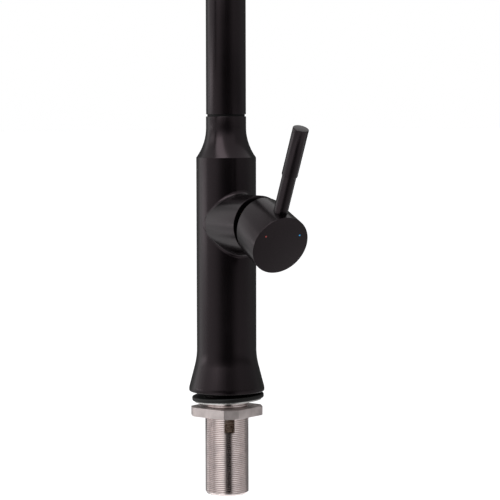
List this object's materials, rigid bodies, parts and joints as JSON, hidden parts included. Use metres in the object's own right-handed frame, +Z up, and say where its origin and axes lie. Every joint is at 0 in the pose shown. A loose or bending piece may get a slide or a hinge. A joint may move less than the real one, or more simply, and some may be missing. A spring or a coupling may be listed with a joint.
{
  "type": "pre rinse faucet",
  "caption": "Deck mounted single lever pre rinse faucet: flared column with side valve, swivelling riser, spring over a hose, clip arm and trigger spray head.",
  "frame": {"origin": "on the column's axis, in the deck plane that the foot stands on", "axes": "+Z up along the column, +X out along the valve housing to the lever, -Y towards the spray head and the user"},
  "size_m": [0.1446, 0.3023, 0.6317],
  "materials": {
    "black_paint": "satin matt black powder coat",
    "nickel_plate": "turned, nickel plated brass",
    "steel": "zinc plated",
    "chrome": "bright",
    "brass": "machined",
    "rubber": "matt",
    "hose_rubber": "matt",
    "white_plastic": "moulded",
    "black_plastic": "moulded",
    "ceramic": "lapped",
    "red_dot": "enamel",
    "blue_dot": "enamel"
  },
  "bodies": {
    "column": {"body": "black_paint", "shank": "nickel_plate", "base_ring": "nickel_plate", "base_seal": "rubber", "valve_block": "brass", "mixed_water_pipe": "brass", "cartridge_casing": "white_plastic", "cartridge_base": "white_plastic", "cartridge_seals": "rubber", "fixed_disc": "ceramic", "retaining_nut": "brass", "glide_ring": "black_plastic", "swivel_screw": "steel"},
    "discs": {"moving_disc": "ceramic", "disc_carrier": "white_plastic"},
    "turret": {"turret": "white_plastic", "stem_pin": "steel"},
    "lever": {"stem": "brass", "cap": "black_paint", "cap_screw": "steel", "rod": "black_paint", "grip": "black_paint", "hot_mark": "red_dot", "cold_mark": "blue_dot"},
    "washers": {"rubber_washer": "rubber", "steel_washer": "steel"},
    "nut": {"mounting_nut": "nickel_plate"},
    "swivel": {"riser": "black_paint", "spigot": "brass", "spigot_seals": "rubber", "riser_plug": "brass", "top_collar": "black_paint", "spring": "black_paint", "hose": "hose_rubber", "hose_inlet_ferrule": "chrome", "hose_outlet_ferrule": "chrome", "spring_collar": "black_paint", "holder_arm": "black_paint", "clamp_screw": "steel"},
    "spray_head": {"spray_body": "black_paint", "spray_face": "black_plastic", "face_bumper": "rubber", "trigger_pin": "steel", "plunger_spring": "steel"},
    "trigger": {"trigger": "black_paint"},
    "plunger": {"plunger": "steel"}
  },
  "joints": [
    {"name": "handle_turn", "type": "hinge", "parent": "column", "child": "turret", "pos_m": [0.046, 0, 0.1315], "axis": [1, 0, 0], "range_deg": [-45, 45]},
    {"name": "handle_lift", "type": "hinge", "parent": "turret", "child": "lever", "pos_m": [0.046, 0, 0.1315], "axis": [0, 1, 0], "range_deg": [-16, 0]},
    {"name": "disc_slide", "type": "slide", "parent": "turret", "child": "discs", "axis": [0, 0, 1], "range_m": [-0.0067, 0.00005]},
    {"name": "nut_turn", "type": "hinge", "parent": "washers", "child": "nut", "pos_m": [0, 0, -0.0157], "axis": [0, 0, 1], "range_deg": [-13680, 0]},
    {"name": "nut_travel", "type": "slide", "parent": "column", "child": "washers", "axis": [0, 0, 1], "range_m": [-0.0571, 0.0001]},
    {"name": "riser_swivel", "type": "hinge", "parent": "column", "child": "swivel", "pos_m": [0, 0, 0.2152], "axis": [0, 0, 1], "continuous": true},
    {"name": "head_turn", "type": "hinge", "parent": "swivel", "child": "spray_head", "pos_m": [0, -0.235, 0.352], "axis": [0, 0, 1], "continuous": true},
    {"name": "trigger_squeeze", "type": "hinge", "parent": "spray_head", "child": "trigger", "pos_m": [0, -0.258, 0.317], "axis": [1, 0, 0], "range_deg": [0, 8], "stiffness_Nm_per_rad": 0.6, "springref_deg": -28.65, "deforming": ["plunger_spring"]},
    {"name": "plunger_slide", "type": "slide", "parent": "spray_head", "child": "plunger", "axis": [0, 1, 0], "range_m": [-0.0001, 0.0038]}
  ],
  "couplings": [
    {"joint": "disc_slide", "follows": "handle_lift", "m_per_rad": 0.0237},
    {"joint": "nut_travel", "follows": "nut_turn", "m_per_rad": 0.00023873},
    {"joint": "plunger_slide", "follows": "trigger_squeeze", "m_per_rad": 0.026}
  ]
}
